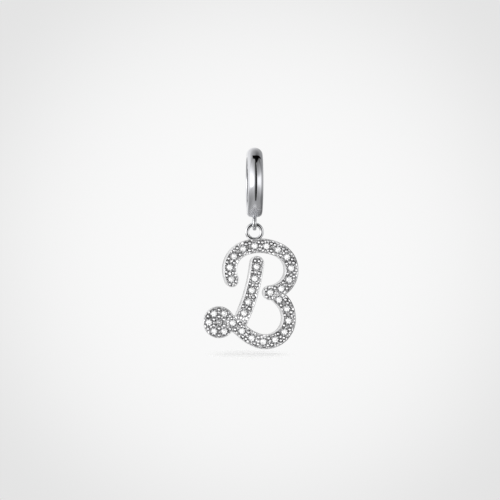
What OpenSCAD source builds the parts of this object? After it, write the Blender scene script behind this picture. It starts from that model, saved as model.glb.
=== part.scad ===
// Initial pendant: a stone-set script letter that swings from a polished hoop bail.
// Lengths are millimetres. X runs to the right, Y to the back, Z up.
// The origin is the top of the bail's bore, where a chain or cord bears.

/* [Bail] */
// Outside diameter of the hoop
bail_od = 9.0; // [7.6:0.1:12]
// Radial thickness of the hoop's band
bail_wall = 1.2; // [1.1:0.05:1.6]
// Width of the band, along the bore
bail_w = 1.95; // [1.5:0.05:3]
// Height of the dome that the band's outer face rises by
bail_dome = 0.66; // [0.3:0.02:0.7]
// Radius that eases the band's edges at the bore
bore_ease = 0.2; // [0.1:0.02:0.3]

/* [Loop under the bail] */
// Outside diameter of the soldered loop
loop_od = 1.96; // [1.9:0.02:2.6]
// Wire diameter of the loop
loop_wire = 0.5; // [0.4:0.02:0.54]
// Depth that the loop is let into the hoop
loop_sink = 0.27; // [0.15:0.01:0.35]

/* [Ring on the letter] */
// Outside diameter of the ring on top of the letter
ring_od = 2.42; // [2.3:0.02:3]
// Wire diameter of the ring
ring_wire = 0.5; // [0.4:0.01:0.56]
// Depth that the ring is let into the letter's top edge
ring_sink = 0.38; // [0.3:0.01:0.5]
// Clear gap between the ring's wire and the loop's wire
link_gap = 0.04; // [0.03:0.01:0.1]

/* [Letter] */
// Height of the letter, over its strokes
letter_h = 14.17; // [13.2:0.01:20]
// Width of a stroke
stroke_w = 1.86; // [1.8:0.01:2.2]
// Thickness of the plate, rim included
plate_t = 1.5; // [1.2:0.05:2.2]
// Width of the polished rim
rim_w = 0.11; // [0.08:0.01:0.15]
// Depth of the set field below the rim
recess = 0.2; // [0.12:0.01:0.3]
// Diameter of the round terminal
disc_d = 4.06; // [4:0.01:4.4]

/* [Stones] */
// Diameter of a stone
stone_d = 1.05; // [0.9:0.01:1.08]
// Stones on the upper stroke
upper_count = 12; // [6:1:12]
// Stones on the lower stroke
lower_count = 9; // [5:1:9]
// Stones on the stem
stem_count = 5; // [3:1:5]
// Crown height, girdle to table
crown_h = 0.16; // [0.12:0.01:0.2]
// Thickness of the girdle
girdle_t = 0.03; // [0.02:0.005:0.05]
// Pavilion depth, girdle to culet
pavilion_h = 0.45; // [0.38:0.01:0.5]
// Width of the table
table_d = 0.6; // [0.5:0.01:0.66]
// Clearance between a stone and its seat
seat_gap = 0.02; // [0.015:0.005:0.03]
// Least metal between the seats on the terminal and its rim
cluster_edge = 0.055; // [0.04:0.005:0.1]
// Diameter of the hole drilled behind each stone
azure_d = 0.5; // [0.3:0.05:0.7]

/* [Beads] */
// Diameter of a setting bead
bead_d = 0.38; // [0.3:0.01:0.42]
// Height of a bead's centre over the field
bead_rise = 0.04; // [0.02:0.01:0.08]
// Space between a bead and the rim
bead_edge = 0.09; // [0.04:0.01:0.13]
// Least space between two beads, or between a bead and a seat
bead_gap = 0.025; // [0.02:0.005:0.05]

/* [Hidden] */
// Bail, loop and ring, from the bore down
bore_r = bail_od / 2 - bail_wall;
bail_z = -bore_r;
loop_z = bail_z - bail_od / 2 + loop_sink - loop_od / 2;
pivot_z = loop_z - loop_od / 2 + loop_wire + link_gap + ring_wire / 2;
ring_mid_r = (ring_od - ring_wire) / 2;
ring_z = pivot_z - ring_mid_r;
letter_top_z = ring_z - ring_od / 2 + ring_sink;
crest_z = letter_top_z - stroke_w / 2;

// The middle lines of the strokes hang between the crest and the foot of the letter
line_h = letter_h - stroke_w;
field_z = plate_t - recess;
girdle_z = field_z - girdle_t;
stone_r = stone_d / 2;
seat_r = stone_r + seat_gap;
bead_r = bead_d / 2;
bead_side = stroke_w / 2 - rim_w - bead_r - bead_edge;

// Places and radii of the middle lines are shares of line_h, measured from the crest
// above the pivot. A row of arcs is a run of tangent arcs, with these columns.
RADIUS = 0;
SWEEP = 1;
// Upper stroke: the curl, the top, the bowl and the waist
upper_start = [-0.239, -0.356];
upper_heading = 115.2;
upper_arcs = [[0.241, -95.9], [0.4555, -46], [0.2322, -115.5], [0.2545, -33.5]];
// Lower stroke: from the waist round the lower bowl to the round terminal
lower_start = [0.2175, -0.5085];
lower_heading = -44.1;
lower_arcs = [[8, -0.55], [0.2805, -45.9], [0.2426, -103], [0.393, -31], [1.286, 6.4]];
// Stem, which runs down into the lower stroke
stem_start = [0.0235, -0.184];
stem_heading = -96.2;
stem_arcs = [[1.855, -19.4]];
// Middle of the round terminal
disc_at = [-0.371, -0.799];

// Length of stroke before the first stone and after the last
upper_lead = 0.1;
upper_tail = 0.1;
lower_lead = 0.8;
lower_tail = 0.1;
stem_lead = 0.43;
stem_tail = 1.1;
// Distance that the first stone of the lower stroke sits inside its middle line
waist_inset = 0.17;
// The terminal's stones stand in a ring round one in the middle, a little below its own
cluster_places = 6;
cluster_drop = 0.03;
cluster_r = disc_d / 2 - rim_w - seat_r - cluster_edge;
// Its beads stand between three stones, and between two stones and the rim
cluster_bead_rows = [cluster_r / (2 * cos(180 / cluster_places)), disc_d / 2 - rim_w - bead_r - bead_edge];
// Beads at the end of a stroke: metal left to the last seat, and turn from straight on
end_bead_gap = bead_gap + 0.02;
end_bead_turns = [41, -41];
stem_bead_gap = bead_gap + 0.1;
stem_bead_turns = [21, -21];
// A side of a bend takes two beads in a gap where it is this much longer than the pitch
long_side = 1.07;
// Half the distance between such a pair, as a share of the pitch
pair_spread = 0.14;

// Steps of an outline: degrees of an arc, and sides of an end's half circle
arc_step = 5;
cap_steps = 16;
overlap = 0.05;

// Functions that walk along a run of tangent arcs. A place is [x, y, heading].
function flat(p) = [p[0], p[1]];
function beside(p, d) = [p[0] - d * sin(p[2]), p[1] + d * cos(p[2]), p[2]];
function left_of(p, d) = flat(beside(p, d));
function along_arc(p, r, turn) =
    let (side = sign(turn), mid = left_of(p, side * r))
    [mid[0] + side * r * sin(p[2] + turn), mid[1] - side * r * cos(p[2] + turn), p[2] + turn];
function arc_len(row) = row[RADIUS] * line_h * abs(row[SWEEP]) * PI / 180;
function run_len(rows, i = 0) = i == len(rows) ? 0 : arc_len(rows[i]) + run_len(rows, i + 1);
function begin(start, heading) = [start[0] * line_h, start[1] * line_h, heading];
function place(p, rows, s, i = 0) =
    s <= arc_len(rows[i]) || i == len(rows) - 1
    ? along_arc(p, rows[i][RADIUS] * line_h, rows[i][SWEEP] * s / arc_len(rows[i]))
    : place(along_arc(p, rows[i][RADIUS] * line_h, rows[i][SWEEP]), rows, s - arc_len(rows[i]), i + 1);
function bend(rows, s, i = 0) =
    s <= arc_len(rows[i]) || i == len(rows) - 1
    ? sign(rows[i][SWEEP]) / (rows[i][RADIUS] * line_h)
    : bend(rows, s - arc_len(rows[i]), i + 1);
function joints(p, rows, i = 0) =
    i == len(rows) ? [p]
    : concat([p], joints(along_arc(p, rows[i][RADIUS] * line_h, rows[i][SWEEP]), rows, i + 1));
function line_places(p, rows) =
    let (ends = joints(p, rows))
    concat([for (i = [0:len(rows) - 1])
        let (n = ceil(abs(rows[i][SWEEP]) / arc_step))
        each [for (k = [0:n - 1])
            along_arc(ends[i], rows[i][RADIUS] * line_h, rows[i][SWEEP] * k / n)]],
        [ends[len(rows)]]);
function cap(p, half, from) =
    [for (k = [1:cap_steps - 1])
        let (a = p[2] + from - 180 * k / cap_steps) [p[0] + half * cos(a), p[1] + half * sin(a)]];
function outline(p, rows, half) =
    let (line = line_places(p, rows), last = len(line) - 1)
    concat(
        [for (q = line) left_of(q, half)],
        cap(line[last], half, 90),
        [for (i = [last:-1:0]) left_of(line[i], -half)],
        cap(line[0], half, -90));

upper_from = begin(upper_start, upper_heading);
lower_from = begin(lower_start, lower_heading);
stem_from = begin(stem_start, stem_heading);
disc_mid = disc_at * line_h;
cluster_mid = disc_mid - [0, cluster_drop];

// Spacing of the stones on each stroke
upper_run = run_len(upper_arcs) - upper_lead - upper_tail;
lower_run = run_len(lower_arcs) - lower_lead - lower_tail;
stem_run = run_len(stem_arcs) - stem_lead - stem_tail;
upper_gaps = upper_count - 1;
lower_gaps = lower_count - 1;
stem_gaps = stem_count - 1;
upper_pitch = upper_run / upper_gaps;
lower_pitch = lower_run / lower_gaps;
stem_pitch = stem_run / stem_gaps;

upper_stones = [for (i = [0:upper_gaps]) place(upper_from, upper_arcs, upper_lead + i * upper_pitch)];
lower_stones = [for (i = [0:lower_gaps])
    beside(place(lower_from, lower_arcs, lower_lead + i * lower_pitch), i == 0 ? -waist_inset : 0)];
stem_stones = [for (i = [0:stem_gaps]) place(stem_from, stem_arcs, stem_lead + i * stem_pitch)];
// The last stone of the lower stroke takes the first place of the ring
disc_stones = concat(
    [for (i = [1:cluster_places - 1])
        let (a = 360 * i / cluster_places)
        [cluster_mid[0] + cluster_r * cos(a), cluster_mid[1] + cluster_r * sin(a), 0]],
    [[cluster_mid[0], cluster_mid[1], 0]]);
stones = concat(upper_stones, lower_stones, stem_stones, disc_stones);

// Beads stand in each gap between two stones, on both sides of the stroke
function side_beads(p, rows, s, pitch, side) =
    let (stretch = 1 - side * bead_side * bend(rows, s), spread = pair_spread * pitch)
    [for (d = stretch > long_side ? [-spread, spread] : [0])
        left_of(place(p, rows, s + d), side * bead_side)];
function row_beads(p, rows, first, pitch, gaps) =
    [for (i = [0:gaps - 1], side = [-1, 1])
        each side_beads(p, rows, first + (i + 0.5) * pitch, pitch, side)];
function end_beads(p, heading, gap, turns) =
    let (reach = seat_r + gap + bead_r)
    [for (t = turns) [p[0] + reach * cos(heading + t), p[1] + reach * sin(heading + t)]];
function disc_beads() =
    [for (r = cluster_bead_rows, i = [0:cluster_places - 1])
        let (a = 360 * (i + 0.5) / cluster_places)
        [cluster_mid[0] + r * cos(a), cluster_mid[1] + r * sin(a)]];
function clear_of(c, others, reach) = len([for (q = others) if (norm(c - flat(q)) < reach) 1]) == 0;
function fitting(wanted, kept = [], i = 0) =
    i == len(wanted) ? kept
    : fitting(wanted,
        clear_of(wanted[i], stones, seat_r + bead_r + bead_gap)
        && clear_of(wanted[i], kept, bead_d + bead_gap)
        ? concat(kept, [wanted[i]]) : kept,
        i + 1);
upper_last = upper_stones[upper_gaps];
beads = fitting(concat(
    end_beads(upper_stones[0], upper_heading + 180, end_bead_gap, end_bead_turns),
    end_beads(upper_last, upper_last[2], end_bead_gap, end_bead_turns),
    end_beads(stem_stones[0], stem_heading + 180, stem_bead_gap, stem_bead_turns),
    row_beads(upper_from, upper_arcs, upper_lead, upper_pitch, upper_gaps),
    row_beads(stem_from, stem_arcs, stem_lead, stem_pitch, stem_gaps),
    row_beads(lower_from, lower_arcs, lower_lead - lower_pitch, lower_pitch, lower_gaps + 1),
    disc_beads()));

function pad(i) = i < 10 ? str("0", i) : str(i);
function stone_name(group, i) = str(group, "_stone_", pad(i + 1));
function names(group, list) = [for (i = [0:len(list) - 1]) stone_name(group, i)];

// Stands a shape drawn on the letter's face upright, with its height towards the front
module on_letter() {
    translate([0, plate_t / 2, crest_z]) rotate([90, 0, 0]) children();
}

// Section of the hoop's band, half round outside, with the axis of the bore along Y
module band_section() {
    half = bail_w / 2;
    dome_r = (half * half + bail_dome * bail_dome) / (2 * bail_dome);
    body_x = bore_r + bore_ease;
    intersection() {
        translate([bail_od / 2 - dome_r, 0]) circle(r = dome_r, $fn = 96);
        union() {
            translate([bore_r, bore_ease - half]) square([bore_ease, bail_w - 2 * bore_ease]);
            translate([body_x, -half]) square([bail_wall, bail_w]);
            for (side = [-1, 1]) {
                translate([body_x, side * (half - bore_ease)]) circle(r = bore_ease, $fn = 48);
            }
        }
    }
}

// Ring of round wire, with its axis along Z
module wire_ring(outside_d, wire) {
    rotate_extrude($fn = 96) translate([(outside_d - wire) / 2, 0]) circle(d = wire, $fn = 32);
}

module bail() {
    color("silver") {
        translate([0, 0, bail_z]) rotate([0, 90, 0]) rotate_extrude($fn = 128) band_section();
        translate([0, 0, loop_z]) rotate([0, 90, 0]) wire_ring(loop_od, loop_wire);
    }
}

// The letter's face, grown outwards or shrunk inwards
module letter_face(grow) {
    half = stroke_w / 2 + grow;
    polygon(outline(upper_from, upper_arcs, half));
    polygon(outline(lower_from, lower_arcs, half));
    polygon(outline(stem_from, stem_arcs, half));
    translate(disc_mid) circle(d = disc_d + 2 * grow, $fn = 96);
}

// Seat of one stone: a well for the girdle, a cone under the pavilion and a drilled hole
module seat() {
    slope = pavilion_h / stone_r;
    azure_r = azure_d / 2;
    cone_h = (seat_r - azure_r) * slope;
    floor_z = girdle_z - seat_gap;
    translate([0, 0, floor_z]) cylinder(r = seat_r, h = plate_t - floor_z + overlap, $fn = 48);
    translate([0, 0, floor_z - cone_h]) cylinder(r1 = azure_r, r2 = seat_r, h = cone_h, $fn = 48);
    translate([0, 0, -overlap]) cylinder(r = azure_r, h = floor_z - cone_h + 2 * overlap, $fn = 48);
}

module letter() {
    color("silver") {
        on_letter() {
            difference() {
                linear_extrude(plate_t) letter_face(0);
                translate([0, 0, field_z]) linear_extrude(recess + overlap) letter_face(-rim_w);
                for (p = stones) translate([p[0], p[1], 0]) seat();
            }
            for (b = beads) translate([b[0], b[1], field_z + bead_rise]) sphere(r = bead_r, $fn = 32);
        }
        translate([0, 0, ring_z]) rotate([90, 0, 0]) wire_ring(ring_od, ring_wire);
    }
}

// A round brilliant with its girdle's lower edge at z = 0 and its table up
mains = 8;
function ring_points(n, r, z, shift) =
    [for (i = [0:n - 1]) let (a = 360 * (i + shift) / n) [r * cos(a), r * sin(a), z]];
// Height where a main facet, from radius r0 at z0 to r1 at z1, passes a corner at radius r
function facet_z(r, r0, z0, r1, z1) = z0 + (r * cos(180 / mains) - r0) * (z1 - z0) / (r1 - r0);
module brilliant() {
    table_r = table_d / 2 / cos(180 / mains);
    crown_top = girdle_t + crown_h;
    star_r = (table_r + stone_r) / 2 + 0.02 * stone_d;
    lower_r = 0.45 * stone_r;
    n = mains;
    points = concat(
        ring_points(n, table_r, crown_top, 0),
        ring_points(n, star_r, facet_z(star_r, table_r, crown_top, stone_r, girdle_t), 0.5),
        ring_points(2 * n, stone_r, girdle_t, 0),
        ring_points(2 * n, stone_r, 0, 0),
        ring_points(n, lower_r, facet_z(lower_r, stone_r, 0, 0, -pavilion_h), 0.5),
        [[0, 0, -pavilion_h]]);
    star = n;
    upper = 2 * n;
    lower = 4 * n;
    keel = 6 * n;
    culet = 7 * n;
    around = [for (i = [0:n - 1]) [i, (i + 1) % n, 2 * i, 2 * i + 1, (2 * i + 2) % (2 * n)]];
    faces = concat(
        [[for (i = [n - 1:-1:0]) i]],
        [for (k = around) [k[0], k[1], star + k[0]]],
        [for (k = around) [k[1], upper + k[4], star + k[0]]],
        [for (k = around) [k[0], star + k[0], upper + k[2]]],
        [for (k = around) [star + k[0], upper + k[3], upper + k[2]]],
        [for (k = around) [star + k[0], upper + k[4], upper + k[3]]],
        [for (i = [0:2 * n - 1]) let (j = (i + 1) % (2 * n)) [upper + i, upper + j, lower + j, lower + i]],
        [for (k = around) [lower + k[2], lower + k[3], keel + k[0]]],
        [for (k = around) [lower + k[3], lower + k[4], keel + k[0]]],
        [for (k = around) [lower + k[2], keel + k[0], culet]],
        [for (k = around) [lower + k[4], culet, keel + k[0]]]);
    polyhedron(points = points, faces = faces, convexity = 2);
}

module stone(p) {
    color("aliceblue") on_letter() translate([p[0], p[1], girdle_z]) rotate([0, 0, p[2]]) brilliant();
}

module stone_row(group, list) {
    for (i = [0:len(list) - 1]) stone(list[i]);
}

bail();
letter();
stone_row("upper", upper_stones);
stone_row("lower", lower_stones);
stone_row("stem", stem_stones);
stone_row("disc", disc_stones);
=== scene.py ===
"""Looks of the initial pendant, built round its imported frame.

Sizes are millimetres, and a finished mesh is brought to metres by add_piece. X runs to the
right, Y to the back and Z up. The letter is drawn on its own face, with x to the right, y up
from the crest of its middle lines and z towards the front from the plate's back.
"""
import logging
import math
from dataclasses import dataclass, field
from enum import Enum
from typing import Any, Callable, Iterable, Sequence

import bmesh
import bpy
from mathutils import Matrix, Vector, noise
from mathutils.geometry import delaunay_2d_cdt
from mathutils.kdtree import KDTree


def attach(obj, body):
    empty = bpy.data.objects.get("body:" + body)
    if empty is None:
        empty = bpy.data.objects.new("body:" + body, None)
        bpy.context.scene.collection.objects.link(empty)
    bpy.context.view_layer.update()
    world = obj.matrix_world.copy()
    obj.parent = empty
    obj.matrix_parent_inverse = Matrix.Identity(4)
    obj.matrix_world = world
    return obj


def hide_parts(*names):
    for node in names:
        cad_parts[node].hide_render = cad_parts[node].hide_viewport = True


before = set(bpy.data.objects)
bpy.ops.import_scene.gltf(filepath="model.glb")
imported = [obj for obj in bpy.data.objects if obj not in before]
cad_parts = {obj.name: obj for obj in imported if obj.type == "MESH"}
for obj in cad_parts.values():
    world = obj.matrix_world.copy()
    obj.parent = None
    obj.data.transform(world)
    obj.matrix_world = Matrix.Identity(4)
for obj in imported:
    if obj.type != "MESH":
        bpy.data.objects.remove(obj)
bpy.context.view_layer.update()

log = logging.getLogger("initial_pendant")

MM = 0.001
Point = tuple[float, float]
Span = tuple[float, float]
Colour = tuple[float, float, float]
WELD = 1e-4
NEAR = 2e-3
BLACK: Colour = (0.0, 0.0, 0.0)
WHITE: Colour = (1.0, 1.0, 1.0)


class Body(Enum):
    """The two bodies of the frame."""

    BAIL = "bail"
    LETTER = "letter"


class Slot(Enum):
    """The record's material slots."""

    POLISHED = "polished_metal"
    SET = "set_metal"
    STONE = "clear_stone"


def clamp(value: float, low: float = 0.0, high: float = 1.0) -> float:
    """Keeps a value between two limits."""
    return min(high, max(low, value))


def share(value: float, span: Span) -> float:
    """How far a value lies along a span, kept from 0 to 1."""
    return clamp((value - span[0]) / (span[1] - span[0]))


def eased(value: float, span: Span) -> float:
    """The same share, with a smooth start and end."""
    t = share(value, span)
    return t * t * (3 - 2 * t)


def arc_insets(radius: float, angles: Sequence[float]) -> list[Point]:
    """Steps of a rounded edge.

    Args:
        radius: the edge's radius.
        angles: degrees from the side to the flat.

    Returns:
        The inset from the side and the depth under the flat, at each angle.
    """
    turns = [math.radians(angle) for angle in angles]
    return [(radius * (1 - math.cos(t)), radius * (1 - math.sin(t))) for t in turns]


# ---- Node benches: shader maths and Geometry Nodes ----


class Signal:
    """An output socket that adds its own maths nodes when it is used in an expression."""

    def __init__(self, bench: "Bench", socket: bpy.types.NodeSocket) -> None:
        """Wraps a socket.

        Args:
            bench: the tree that the socket belongs to.
            socket: the output socket.
        """
        self.bench = bench
        self.socket = socket

    def _maths(self, operation: str, first: Any, second: Any) -> "Signal":
        """Adds one Math node.

        Args:
            operation: the node's operation.
            first: its first value or signal.
            second: its second value or signal.

        Returns:
            The node's output.
        """
        return self.bench.node("ShaderNodeMath", {"operation": operation}, {0: first, 1: second})

    def __add__(self, other: Any) -> "Signal":
        """Sum."""
        return self._maths("ADD", self, other)

    def __radd__(self, other: Any) -> "Signal":
        """Sum, with the number on the left."""
        return self._maths("ADD", other, self)

    def __sub__(self, other: Any) -> "Signal":
        """Difference."""
        return self._maths("SUBTRACT", self, other)

    def __rsub__(self, other: Any) -> "Signal":
        """Difference, with the number on the left."""
        return self._maths("SUBTRACT", other, self)

    def __mul__(self, other: Any) -> "Signal":
        """Product."""
        return self._maths("MULTIPLY", self, other)

    def __rmul__(self, other: Any) -> "Signal":
        """Product, with the number on the left."""
        return self._maths("MULTIPLY", other, self)

    def __truediv__(self, other: Any) -> "Signal":
        """Quotient."""
        return self._maths("DIVIDE", self, other)

    def __rtruediv__(self, other: Any) -> "Signal":
        """Quotient, with the number on the left."""
        return self._maths("DIVIDE", other, self)

    def __pow__(self, other: Any) -> "Signal":
        """Power."""
        return self._maths("POWER", self, other)

    def __abs__(self) -> "Signal":
        """Size without its sign."""
        return self._maths("ABSOLUTE", self, 0.0)

    def __gt__(self, other: Any) -> "Signal":
        """One where this is greater, otherwise nought."""
        return self._maths("GREATER_THAN", self, other)


class Bench:
    """A node tree and the one method that puts nodes on it."""

    def __init__(self, tree: bpy.types.NodeTree) -> None:
        """Takes the tree to work on."""
        self.tree = tree

    def node(
        self,
        kind: str,
        settings: dict[str, Any] | None = None,
        inputs: dict[int | str, Any] | None = None,
        output: int | str = 0,
    ) -> Signal:
        """Adds a node.

        Args:
            kind: the node's type.
            settings: its properties, set before its sockets; "stops" fills a colour ramp.
            inputs: a value or a signal for each input, by index or name.
            output: the output that is wanted.

        Returns:
            The wanted output.
        """
        made = self.tree.nodes.new(kind)
        for name, value in (settings or {}).items():
            if name == "stops":
                ramp = made.color_ramp
                while len(ramp.elements) < len(value):
                    ramp.elements.new(1.0)
                for stop, (place, colour) in zip(ramp.elements, value):
                    stop.position = place
                    stop.color = colour
            else:
                setattr(made, name, value)
        for key, value in (inputs or {}).items():
            if isinstance(value, Signal):
                self.tree.links.new(value.socket, made.inputs[key])
            elif isinstance(value, (list, tuple)) and value and isinstance(value[0], Signal):
                for one in value:
                    self.tree.links.new(one.socket, made.inputs[key])
            else:
                made.inputs[key].default_value = value
        return Signal(self, made.outputs[output])

    def vector(self, x: Any, y: Any, z: Any = 0.0) -> Signal:
        """Joins three values into a vector."""
        return self.node("ShaderNodeCombineXYZ", None, {0: x, 1: y, 2: z})

    def parts(self, vector: Signal) -> tuple[Signal, Signal, Signal]:
        """Splits a vector into its three values."""
        first = self.node("ShaderNodeSeparateXYZ", None, {0: vector})
        outputs = first.socket.node.outputs
        return Signal(self, outputs[0]), Signal(self, outputs[1]), Signal(self, outputs[2])

    def ramp(self, value: Any, stops: Sequence[Point], span: float) -> Signal:
        """Looks a value up on a grey ramp.

        Args:
            value: from 0 to 1.
            stops: places from -span / 2 to span / 2, and the value at each.
            span: the whole width.

        Returns:
            The ramp's value.
        """
        greys = [(place / span + 0.5, (level, level, level, 1.0)) for place, level in stops]
        return self.node("ShaderNodeValToRGB", {"stops": greys}, {0: value})

    def smooth(self, value: Any, low: float, high: float) -> Signal:
        """Rises smoothly from 0 at low to 1 at high, or falls where low is the larger."""
        inputs = {"Value": value, "From Min": low, "From Max": high}
        return self.node("ShaderNodeMapRange", {"interpolation_type": "SMOOTHSTEP"}, inputs)

    def mix(self, factor: Any, first: Colour, second: Colour) -> Signal:
        """Mixes two colours."""
        inputs = {0: factor, 6: (*first, 1.0), 7: (*second, 1.0)}
        return self.node("ShaderNodeMix", {"data_type": "RGBA"}, inputs, 2)

    def noise(self, place: Signal, size: float, **more: float) -> Signal:
        """Looks up a noise with a grain of so many millimetres."""
        inputs = {"Vector": place, "Scale": 1 / (size * MM), **more}
        return self.node("ShaderNodeTexNoise", None, inputs)

    def painted(self, name: str) -> Signal:
        """Reads a value that is painted on the vertices."""
        return self.node("ShaderNodeAttribute", {"attribute_name": name}, None, "Fac")

    def end(self, kind: str, result: Signal) -> None:
        """Ends the tree in an output node of this kind."""
        out = self.tree.nodes.new(kind)
        self.tree.links.new(result.socket, out.inputs[0])


def cleared(owner: bpy.types.Material | bpy.types.World) -> Bench:
    """Empties the node tree of a material or a world, and opens a bench on it."""
    owner.use_nodes = True
    owner.node_tree.nodes.clear()
    return Bench(owner.node_tree)


class Recipe:
    """A Geometry Nodes tree with named inputs, and the mesh that comes out of it."""

    SOCKETS = {float: "NodeSocketFloat", int: "NodeSocketInt", tuple: "NodeSocketVector"}
    SEAM = 0.002

    def __init__(self, name: str, sizes: dict[str, Any], finish: bpy.types.Material) -> None:
        """Opens the tree.

        Args:
            name: the tree's name.
            sizes: the value of each named input.
            finish: the material that the tree sets.
        """
        self.values = {**sizes, "Finish": finish}
        self.tree = bpy.data.node_groups.new(name, "GeometryNodeTree")
        face = self.tree.interface
        face.new_socket(name="Places", in_out="INPUT", socket_type="NodeSocketGeometry")
        for key, value in self.values.items():
            kind = self.SOCKETS.get(type(value), "NodeSocketMaterial")
            face.new_socket(name=key, in_out="INPUT", socket_type=kind)
        face.new_socket(name="Shape", in_out="OUTPUT", socket_type="NodeSocketGeometry")
        self.bench = Bench(self.tree)
        self.given = self.tree.nodes.new("NodeGroupInput")

    def size(self, name: str) -> Signal:
        """The signal of a named input."""
        return Signal(self.bench, self.given.outputs[name])

    def spun(self, profile: Sequence[Signal], steps: Any) -> Signal:
        """Turns a profile round the Z axis and welds it.

        Args:
            profile: curves with X as the radius and Y as the depth below Z = 0.
            steps: the number of steps round the axis.

        Returns:
            The turned shape.
        """
        add = self.bench.node
        joined = add("GeometryNodeJoinGeometry", None, {0: list(profile)})
        shift = {"Geometry": joined, "Translation": (-1.0, 0, 0)}
        inset = add("GeometryNodeTransform", None, shift)
        path = add("GeometryNodeCurvePrimitiveCircle", None, {"Resolution": steps, "Radius": 1.0})
        swept = add("GeometryNodeCurveToMesh", None, {"Curve": path, "Profile Curve": inset})
        seam = {"Geometry": swept, "Distance": self.SEAM}
        return add("GeometryNodeMergeByDistance", None, seam)

    def close(self, shape: Signal) -> None:
        """Realizes the shape, gives it its finish and ends the tree."""
        add = self.bench.node
        real = add("GeometryNodeRealizeInstances", None, {0: shape})
        smooth = add("GeometryNodeSetShadeSmooth", None, {"Geometry": real})
        dressed = {"Geometry": smooth, "Material": self.size("Finish")}
        self.bench.end("NodeGroupOutput", add("GeometryNodeSetMaterial", None, dressed))

    def mesh(self, places: Iterable[Sequence[float]] = ()) -> bpy.types.Mesh:
        """Runs the tree.

        Args:
            places: the points that the tree puts its instances on.

        Returns:
            The evaluated mesh, in millimetres.
        """
        seed = bpy.data.meshes.new(self.tree.name)
        seed.from_pydata([tuple(p) for p in places], [], [])
        carrier = bpy.data.objects.new(self.tree.name, seed)
        bpy.context.scene.collection.objects.link(carrier)
        step = carrier.modifiers.new("recipe", "NODES")
        step.node_group = self.tree
        for item in self.tree.interface.items_tree:
            if item.in_out == "INPUT" and item.name in self.values:
                step[item.identifier] = self.values[item.name]
        shown = carrier.evaluated_get(bpy.context.evaluated_depsgraph_get())
        made = bpy.data.meshes.new_from_object(shown)
        carrier.modifiers.clear()
        bpy.data.objects.remove(carrier)
        return made


# ---- Finishes ----


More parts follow.
